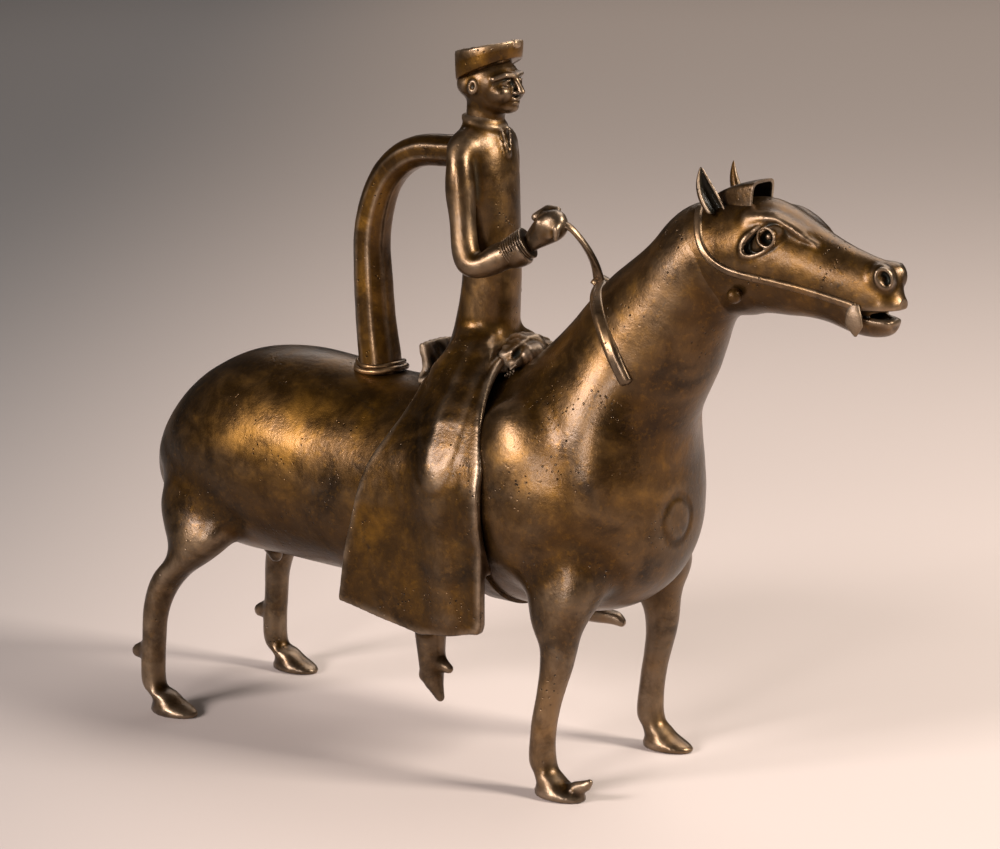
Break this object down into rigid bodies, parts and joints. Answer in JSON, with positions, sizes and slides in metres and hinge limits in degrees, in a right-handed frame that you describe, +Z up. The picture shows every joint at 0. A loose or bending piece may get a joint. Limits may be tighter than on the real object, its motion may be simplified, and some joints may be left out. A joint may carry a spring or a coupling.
{
  "type": "aquamanile",
  "caption": "Hollow cast bronze water ewer in the form of a horse with a rider in a round cap, filled at the cap and poured from a spout between the horse's ears.",
  "frame": {"origin": "middle of the box at the level of the hooves' soles", "axes": "+X to the horse's muzzle, +Y to its left side, +Z up"},
  "size_m": [0.4038, 0.1162, 0.3331],
  "materials": {
    "bronze": "dark brown patina, warm where rubbed",
    "bronze_dark": "near-black patina, rough as cast",
    "bronze_worn": "brown patina rubbed glossy by handling"
  },
  "bodies": {
    "root": {"horse_body": "bronze", "horse_head": "bronze", "fore_leg_left": "bronze", "fore_leg_right": "bronze", "hind_leg_left": "bronze", "hind_leg_right": "bronze", "ear_left": "bronze", "ear_right": "bronze", "chest_plug": "bronze", "belly_boss": "bronze", "rider_torso": "bronze_worn", "rider_head": "bronze_worn", "rider_cap": "bronze_worn", "rider_arm_left": "bronze_worn", "rider_arm_right": "bronze_worn", "rider_hand_left": "bronze_worn", "rider_hand_right": "bronze_worn", "rider_robe_left": "bronze_worn", "rider_robe_right": "bronze_worn", "handle": "bronze_worn", "handle_collar": "bronze_worn", "hand_rein": "bronze_worn", "neck_rein_left": "bronze_worn", "neck_rein_right": "bronze_worn", "bridle_left": "bronze_worn", "bridle_right": "bronze_worn", "spout_hood": "bronze_dark", "saddle_seat": "bronze_dark", "saddle_pommel": "bronze_dark", "saddle_cantle": "bronze_dark", "saddle_skirt_left": "bronze_dark", "saddle_skirt_right": "bronze_dark", "girth_strap": "bronze_dark", "rider_foot_left": "bronze_dark", "rider_foot_right": "bronze_dark", "bit_cheek_left": "bronze_dark", "bit_cheek_right": "bronze_dark", "jaw_stud_left": "bronze_dark", "jaw_stud_right": "bronze_dark", "cap_hinge_lug": "bronze_dark"}
  },
  "joints": []
}
